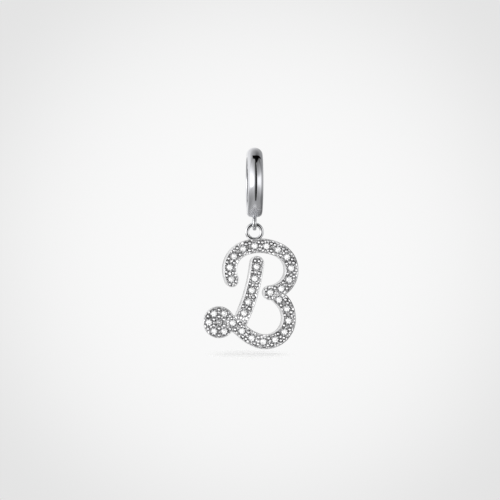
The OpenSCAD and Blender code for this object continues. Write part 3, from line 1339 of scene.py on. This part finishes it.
    def plate_mesh(self, finish: bpy.types.Material) -> bpy.types.Mesh:
        """Builds the plate with its rim, field and drilled seats.

        Args:
            finish: the plate's material.

        Returns:
            The plate's mesh.
        """
        shell = Shell()
        lean = self.leaning()
        rings = [
            shell.ring([lean(p) for p in self.face_outline(inset)], z, hollow, z <= self.field)
            for inset, z, hollow in self.edge_profile()
        ]
        self.shade_right_rim(shell, rings[1:])
        for outer, inner in zip(rings, rings[1:]):
            shell.cover(outer, [inner], True)
        back = [
            shell.ring(self.face_outline(inset), depth, self.back_shade)
            for inset, depth in arc_insets(self.back_ease, (0, 30, 60, 90))
        ]
        back.append(shell.ring(self.face_outline(self.back_ease + self.back_margin), 0.0))
        shell.wall(back[0], rings[0])
        for outer, inner in zip(back, back[1:]):
            shell.cover(outer, [inner], False)
        lips, mouths = zip(*(self.seat_rings(shell, spot) for spot in self.stone_spots()))
        shell.cover(rings[-1], lips, True, self.carve(shell, lean))
        shell.cover(back[-1], mouths, False)
        made = shell.mesh("letter_plate", self.place)
        made.materials.append(finish)
        return made

    def carve(self, shell: Shell, lean: Callable[[Point], Point]) -> list[int]:
        """Carves the field: a groove round each bead and shallow cuts between them.

        Args:
            shell: the plate.
            lean: brings a point to its place on the plate's front.

        Returns:
            The new vertices' numbers.
        """
        lines = self.middle_lines(self.coarse_steps)
        to_line = finder(lines)
        to_seat = finder([(spot.x, spot.y) for spot in self.stone_spots()])
        to_bead = finder(self.drawn_beads())
        margin = self.rim + self.rim_margin
        xs, ys = [p[0] for p in lines], [p[1] for p in lines]
        left, low, reach = min(xs) - self.disc, min(ys) - self.disc, self.disc
        rows = int((max(ys) - low + reach) / (self.mesh_size * self.row_share))
        columns = int((max(xs) - left + reach) / self.mesh_size)
        middle = self.bead / 2 + self.groove_gap
        added = []
        for j in range(rows):
            for i in range(columns):
                x = left + (i + 0.5 * (j % 2)) * self.mesh_size
                y = low + j * self.mesh_size * self.row_share
                on_stroke = to_line(x, y)[2] < self.stroke / 2 - margin
                on_disc = math.dist((x, y), self.disc_middle) < self.disc / 2 - margin
                x, y = lean((x, y))
                if (on_stroke or on_disc) and to_seat(x, y)[2] > self.seat + self.seat_margin:
                    groove = max(0.0, 1 - abs(to_bead(x, y)[2] - middle) / self.groove_width)
                    cuts = noise.noise(Vector((x, y, 0.0)) / self.cut_size)
                    near = min(math.dist((x, y), spot) for spot in self.pits)
                    pit = max(0.0, 1 - near / self.pit_reach)
                    height = self.field - self.groove_depth * groove + self.cut_depth * cuts
                    height -= self.pit_depth * pit
                    # Painted shade in the grooves and pits.
                    shade_amount = min(1.0, self.groove_shade * groove + self.pit_shade * pit)
                    added += shell.ring([(x, y)], height, shade_amount, 1.0)
        return added

    def seat_rings(self, shell: Shell, spot: Spot) -> tuple[list[int], list[int]]:
        """Adds one drilled seat.

        Args:
            shell: the plate.
            spot: the stone's place.

        Returns:
            The ring at the field and the ring at the back.
        """
        lip, floor, ease = self.seat_lip, self.field - self.girdle - self.seat_gap, self.drill_ease
        hole = self.drill / 2
        cone = (self.seat - hole) * self.pavilion / (self.stone / 2)
        # Rows of radius, height and painted shade: the drilled seat darkens inside as painted
        # shade.
        rows = [
            (self.seat + lip, self.field, 0.0),
            (self.seat, self.field - lip, 0.9),
            (self.seat, floor, 1.0),
            (hole, floor - cone, 1.0),
            (hole, ease, 0.8),
            (hole + ease, 0.0, 0.2),
        ]
        rings = [
            shell.ring(circle(spot.x, spot.y, r, self.seat_steps), z, hollow, z == self.field)
            for r, z, hollow in rows
        ]
        for upper, lower in zip(rings, rings[1:]):
            shell.wall(upper, lower)
        return rings[0], rings[-1]

    def bead_mesh(self, finish: bpy.types.Material) -> bpy.types.Mesh:
        """Raises the setting beads.

        Args:
            finish: the beads' material.

        Returns:
            One mesh with all the beads.
        """
        recipe = Recipe(
            "raised_beads",
            {
                "Bead Radius": self.bead / 2 + self.bead_growth,
                "Rise": self.bead_rise - self.bead_growth,
                "Flare": 0.02,
                "Sunk": 0.05,
                "Steps": 20,
                "Unevenness": 0.035,
                "Seed": 7,
            },
            finish,
        )
        bench, add, size = recipe.bench, recipe.bench.node, recipe.size
        radius, rise = size("Bead Radius"), size("Rise")
        dome = add(
            "GeometryNodeCurveArc", {"mode": "RADIUS"},
            {
                "Resolution": 8,
                "Radius": radius,
                "Start Angle": -math.pi / 2,
                "Sweep Angle": math.pi / 2,
            },
        )
        foot = rise + size("Sunk")
        wide = radius + size("Flare")
        flare = add(
            "GeometryNodeCurveQuadraticBezier", None,
            {
                "Resolution": 4,
                "Start": bench.vector(radius, 0.0),
                "Middle": bench.vector(radius, rise),
                "End": bench.vector(wide, foot),
            },
        )
        under = add(
            "GeometryNodeCurvePrimitiveLine", None,
            {"Start": bench.vector(wide, foot), "End": bench.vector(0.0, foot)},
        )
        form = recipe.spun([dome, flare, under], size("Steps"))
        scale = add(
            "FunctionNodeRandomValue", {"data_type": "FLOAT"},
            {2: 1.0 - size("Unevenness"), 3: 1.0, "Seed": size("Seed")},
            1,
        )
        set_beads = add(
            "GeometryNodeInstanceOnPoints", None,
            {
                "Points": Signal(bench, recipe.given.outputs["Places"]),
                "Instance": form,
                "Rotation": (math.pi / 2, 0.0, 0.0),
                "Scale": scale,
            },
        )
        recipe.close(set_beads)
        level = self.field + self.bead_rise - self.bead_growth
        made = recipe.mesh([self.place(x, y, level) for x, y in self.drawn_beads()])
        front = self.place(0, 0, self.field + self.bead_rise + self.bead / 2)[1]
        reach = self.bead / 2 + self.bead_rise
        # Painted shade: each bead darkens from its front towards its foot.
        values = made.attributes.new("hollow", "FLOAT", "POINT")
        for i, v in enumerate(made.vertices):
            values.data[i].value = eased((v.co.y - front) / reach, self.bead_foot_shade)
        return made

    def build(
        self, plate: bpy.types.Material, beads: bpy.types.Material, wire: bpy.types.Material
    ) -> None:
        """Makes the plate, the beads and the ring.

        Args:
            plate: the set silver.
            beads: the beads' silver, with a painted highlight at each bead's front and painted
                shade at its foot.
            wire: the wire's silver, a little greyer as painted shade.
        """
        add_piece("letter_plate", self.plate_mesh(plate), Body.LETTER, Slot.SET, "letter")
        add_piece("setting_beads", outward(self.bead_mesh(beads)), Body.LETTER, Slot.SET, "letter")
        facing = (math.pi / 2, 0.0, 0.0)
        ring = WireRing(
            "letter_ring", self.ring_outside, self.ring_wire, self.ring_height, facing
        )
        add_piece("letter_ring", outward(ring.mesh(wire)), Body.LETTER, Slot.SET, "letter")


@dataclass
class Stones:
    """The cut stones, which keep the frame's own meshes."""

    finish: Zirconia = Zirconia()
    shaded: Zirconia = Zirconia("shaded_zirconia", sparkle=0.25)
    in_shade: tuple[str, ...] = ("disc_stone_06",)

    def build(self) -> None:
        """Dresses each stone."""
        clear, dull = self.finish.material(), self.shaded.material()
        names = [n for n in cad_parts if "_stone_" in n]
        for name in names:
            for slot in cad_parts[name].material_slots:
                slot.material = dull if name in self.in_shade else clear
        log.info("%d stones dressed", len(names))


# ---- Studio ----


@dataclass(frozen=True)
class Patch:
    """A part of the room, in directions, with edges that fade from low to high."""

    level: float
    across: Span | None = None
    away: Span | None = None
    up: Span | None = None

    def mask(self, bench: Bench, direction: Sequence[Signal]) -> Any:
        """How much of the patch lies in a direction.

        Args:
            bench: the world's bench.
            direction: its parts to the right, to the back and up.

        Returns:
            From 0 outside to the patch's level inside.
        """
        mask: Any = self.level
        for part, span in zip(direction, (self.across, self.away, self.up)):
            if span:
                mask = bench.smooth(part, *span) * mask
        return mask


@dataclass(frozen=True)
class CeilingCard:
    """The dark card over the pendant, whose front edge bows and dips."""

    left: float = -0.36
    right: float = 0.66
    front: float = -0.15
    back: float = 0.165
    left_fade: float = 0.1
    right_fade: float = 0.08
    front_fade: float = 0.04
    back_fade: Span = (0.04, -0.03)
    back_bow: float = 0.7
    dip_middle: float = 0.22
    dip_reach: float = 0.12
    dip_depth: float = 0.26

    def mask(self, bench: Bench, direction: Sequence[Signal]) -> Signal:
        """How much of the card lies in a direction.

        Args:
            bench: the world's bench.
            direction: its parts to the right, to the back and up.

        Returns:
            From 0 outside to 1 inside.
        """
        x, y, z = direction
        smooth = bench.smooth
        bow = x * x
        beside = x - self.dip_middle
        dip = self.dip_depth * smooth(beside * beside, self.dip_reach, 0.0)
        fade, (out, into) = self.front_fade, self.back_fade
        card = smooth(y - bow + dip, self.front - fade, self.front + fade) * (z > 0.0)
        card = card * smooth(y - self.back_bow * bow, self.back + out, self.back + into)
        card = card * smooth(x, self.left - self.left_fade, self.left)
        return card * smooth(x, self.right + self.right_fade, self.right)


@dataclass
class Studio:
    """Floor, light and camera."""

    floor_height: float = -25.3
    floor_radius: float = 24.0
    floor_rings: int = 24
    floor_steps: int = 96
    floor_core: float = 0.02
    shadow_middle: Point = (-0.76, -1.5)
    shadow_stretch: float = 1.5
    shadow_fade: Span = (2.2, 6.2)
    contact_line: float = 0.8
    contact_reach: float = 2.6
    contact_fade: float = 0.36
    paper_fade: float = 0.5
    paper: Colour = (0.9, 0.9, 0.9)
    camera_turn: float = -2.5
    camera_distance: float = 265.0
    camera_height: float = -6.46
    picture_width: float = 64.29
    aim: Point = (-0.566, -11.99)
    sensor: float = 36.0
    overhead_power: float = 2.9
    overhead_size: float = 0.7
    overhead_height: float = 0.5
    brightness: float = 1.2
    walls: tuple[Point, ...] = (
        (-180, 0.55), (-150, 0.66), (-120, 0.7), (-95, 0.75), (-80, 1.0), (-38, 1.0), (-20, 0.75),
        (20, 0.8), (78, 0.8), (96, 0.34), (140, 0.32), (160, 0.42), (180, 0.55),
    )
    levels: tuple[Point, ...] = (
        (-90, 0.35), (-65, 0.37), (-45, 0.34), (-30, 0.41), (-17, 0.6), (-5, 0.95), (2, 1.0),
        (14, 1.0), (24, 0.86), (36, 0.62), (50, 0.42), (62, 0.32), (72, 0.28),
    )
    gap: tuple[Point, ...] = ((-26, 1.0), (-10, 0.72), (-7, 0.02), (19, 0.02), (22, 1.0))
    boxes: tuple[Point, ...] = (
        (-80, 0.0), (-72, 1.0), (-42, 1.0), (-30, 0.0), (30, 0.0), (40, 0.1), (66, 0.1), (74, 0.0),
    )
    box_glow: float = 0.9
    box_foot: Span = (-0.28, -0.08)
    box_top: Span = (0.36, 0.16)
    wall_foot: Span = (-25.0, -50.0)
    gap_foot: Span = (-60.0, -67.0)
    card: CeilingCard = CeilingCard()
    card_shade: float = 0.99
    beyond: Patch = Patch(1.0, None, (0.0, 0.3), (0.3, 0.6))
    beyond_gain: float = 0.35
    low_wall: float = 0.86
    low_wall_right: Patch = Patch(0.1, (-0.3, 0.3))
    upper_shade: Patch = Patch(0.38, (0.0, 0.4), None, (0.15, 0.45))
    upper_shade_lift: float = 0.6
    shades: tuple[Patch, ...] = (
        Patch(0.04, (0.0, 0.4), None, (0.02, -0.15)),
        Patch(0.4, (0.0, 0.4), (0.15, 0.55), (-0.1, -0.35)),
        Patch(0.28, (-0.4, -0.85), None, (-0.1, -0.3)),
    )
    far_wall: Patch = Patch(1.0, None, (0.86, 0.96))
    far_wall_level: float = 0.86
    far_wall_right: Patch = Patch(0.6, (0.04, 0.3))
    backdrop: float = 0.947
    backdrop_fall: float = 0.168
    backdrop_reach: float = 0.0138

    def floor(self) -> None:
        """Lays a pale floor that fades into the backdrop."""
        shell = Shell()
        rings = []
        for k in range(self.floor_rings + 1):
            part = self.floor_core + (1 - self.floor_core) * k / self.floor_rings
            outline = circle(0, 0, self.floor_radius * part, self.floor_steps)
            rings.append(shell.ring(outline, self.floor_height))
        shell.faces.append(tuple(rings[0]))
        for inner, outer in zip(rings, rings[1:]):
            shell.wall(outer, inner)
        mesh = bpy.data.meshes.new("floor")
        mesh.from_pydata(shell.points, [], shell.faces)
        mesh.transform(Matrix.Scale(MM, 4))
        mesh.update()
        mesh.materials.append(self.floor_material())
        ground = bpy.data.objects.new("floor", mesh)
        bpy.context.scene.collection.objects.link(ground)

    def floor_material(self) -> bpy.types.Material:
        """Makes the pale paper.

        Returns:
            Paper that gives way to the backdrop away from the pendant.
        """
        made = bpy.data.materials.new("pale_floor")
        bench = cleared(made)
        add = bench.node
        x, y, _ = bench.parts(add("ShaderNodeTexCoord", output="Object"))
        contact = bench.smooth(abs(y - self.contact_line * MM), self.contact_reach * MM, 0.0)
        x = x - self.shadow_middle[0] * MM
        y = (y - self.shadow_middle[1] * MM) / self.shadow_stretch
        far = (x * x + y * y) ** 0.5
        fade = self.paper_fade + self.contact_fade * contact
        fade = fade + (1.0 - fade) * bench.smooth(far, *(edge * MM for edge in self.shadow_fade))
        paper = add("ShaderNodeBsdfDiffuse", None, {"Color": (*self.paper, 1.0)})
        clear = add("ShaderNodeBsdfTransparent")
        mixed = add("ShaderNodeMixShader", None, {0: fade, 1: paper, 2: clear})
        bench.end("ShaderNodeOutputMaterial", mixed)
        return made

    def light(self) -> None:
        """Hangs a wide soft box over the floor, out of the metal's sight, and shades the room."""
        lamp = bpy.data.lights.new("overhead_box", "AREA")
        lamp.shape = "SQUARE"
        lamp.size = self.overhead_size
        lamp.energy = self.overhead_power
        box = bpy.data.objects.new("overhead_box", lamp)
        bpy.context.scene.collection.objects.link(box)
        box.location = (0.0, 0.0, self.overhead_height)
        box.visible_camera = box.visible_glossy = box.visible_transmission = False
        self.room()

    def room(self) -> None:
        """Shades the room that the metal mirrors.

        Two bright boxes stand at the sides, with a dark gap between them where the camera is,
        under a dark ceiling and over a grey floor. The camera itself sees a pale backdrop.
        """
        world = bpy.data.worlds.new("room")
        bpy.context.scene.world = world
        bench = cleared(world)
        add = bench.node
        direction = bench.parts(add("ShaderNodeTexCoord", output="Generated"))
        seen = add("ShaderNodeLightPath", output="Is Camera Ray")
        glow, behind = self.mirrored(bench, direction), self.seen_behind(bench, direction)
        strength = add("ShaderNodeMix", {"data_type": "FLOAT"}, {0: seen, 2: glow, 3: behind})
        shade = add("ShaderNodeBackground", None, {"Color": (1, 1, 1, 1), "Strength": strength})
        bench.end("ShaderNodeOutputWorld", shade)

    def mirrored(self, bench: Bench, direction: Sequence[Signal]) -> Signal:
        """How bright the mirrored room is.

        Args:
            bench: the world's bench.
            direction: its parts to the right, to the back and up.

        Returns:
            The brightness in that direction.
        """
        x, y, z = direction
        add, smooth = bench.node, bench.smooth
        azimuth = add("ShaderNodeMath", {"operation": "ARCTAN2"}, {0: x, 1: 0.0 - y})
        rise = add("ShaderNodeMath", {"operation": "ARCSINE"}, {0: z})
        round_room = azimuth / math.tau + 0.5
        walls, gap, sides = (
            bench.ramp(round_room, stops, 360.0) for stops in (self.walls, self.gap, self.boxes)
        )
        levels = bench.ramp(rise / math.pi + 0.5, self.levels, 180.0)
        low, under = (
            smooth(rise, math.radians(start), math.radians(end))
            for start, end in (self.wall_foot, self.gap_foot)
        )
        even = self.low_wall - self.low_wall_right.mask(bench, direction)
        walls = walls + low * (even - walls)
        gap = gap + under * (1.0 - gap)
        band = smooth(z, *self.box_foot) * smooth(z, *self.box_top)
        glow = (walls * levels * self.brightness + sides * band * self.box_glow) * gap
        beyond = self.beyond.mask(bench, direction)
        glow = glow * (1.0 + self.beyond_gain * beyond)
        shade = self.upper_shade.mask(bench, direction) * (1.0 - self.upper_shade_lift * beyond)
        for patch in self.shades:
            shade = shade + patch.mask(bench, direction)
        glow = glow * (1.0 - shade)
        glow = glow * (1.0 - self.card_shade * self.card.mask(bench, direction))
        far = self.far_wall_level - self.far_wall_right.mask(bench, direction)
        return glow + self.far_wall.mask(bench, direction) * (far - glow)

    def seen_behind(self, bench: Bench, direction: Sequence[Signal]) -> Signal:
        """How bright the backdrop is, which darkens away from the picture's middle.

        Args:
            bench: the world's bench.
            direction: its parts to the right, to the back and up.

        Returns:
            The brightness in that direction.
        """
        x, y, z = direction
        turn = math.radians(self.camera_turn)
        tilt = math.atan2(self.aim[1] - self.camera_height, self.camera_distance)
        ahead = y * (math.cos(turn) * math.cos(tilt)) - x * (math.sin(turn) * math.cos(tilt))
        off_axis = 1.0 - ahead - z * math.sin(tilt)
        return self.backdrop - self.backdrop_fall * bench.smooth(off_axis, 0.0, self.backdrop_reach)

    def camera(self) -> None:
        """Sets the camera where the photographer's stood."""
        data = bpy.data.cameras.new("camera")
        data.sensor_width = self.sensor
        data.lens = self.sensor * self.camera_distance / self.picture_width
        data.clip_start, data.clip_end = 0.01, 5.0
        eye = bpy.data.objects.new("camera", data)
        bpy.context.scene.collection.objects.link(eye)
        a = math.radians(self.camera_turn)
        back = Vector((math.sin(a), -math.cos(a), 0.0))
        right = Vector((math.cos(a), math.sin(a), 0.0))
        eye.location = (back * self.camera_distance + Vector((0, 0, self.camera_height))) * MM
        target = (right * self.aim[0] + Vector((0, 0, self.aim[1]))) * MM
        eye.rotation_euler = (target - eye.location).to_track_quat("-Z", "Y").to_euler()
        bpy.context.scene.camera = eye

    def build(self) -> None:
        """Sets up the studio."""
        self.camera()
        self.floor()
        self.light()
        bpy.context.scene.view_settings.view_transform = "Standard"
        log.info("studio set")


def main() -> None:
    """Builds the pendant and the studio."""
    logging.basicConfig(level=logging.INFO, format="%(name)s: %(message)s")
    polished = Silver("polished_silver", (0.925, 0.933, 0.968), solder_haze=0.3).material()
    # Painted shade: the wire's silver is a little greyer than the hoop's.
    shaded_wire = Silver("shaded_wire_silver", (0.9, 0.905, 0.92)).material()
    # Painted shade in creases, hollows and along edges; painted highlights on crests and painted
    # glints on the cut field.
    set_silver = Silver(
        "set_silver", haze=0.06, haze_spread=0.08, cut_haze=0.26, grain_depth=0.02, cut_depth=0.16,
        cut_frost=0.6, crest_glow=0.52, crest=(0.5, 0.9), field_glint_strength=1.3,
        painted_shade_colour=(0.09, 0.09, 0.095),
    ).material()
    # Painted highlight at each bead's front; painted shade towards its foot.
    bead_silver = Silver(
        "bead_silver", haze=0.14, haze_spread=0.1, crest_glow=0.8, crest=(0.84, 0.985),
        painted_shade_colour=(0.05, 0.05, 0.055),
    ).material()
    studio = Studio()
    studio.build()
    bail = Bail()
    bail.build(polished, shaded_wire)
    Letter(bail).build(set_silver, bead_silver, shaded_wire)
    Stones().build()


if __name__ == "__main__":
    main()
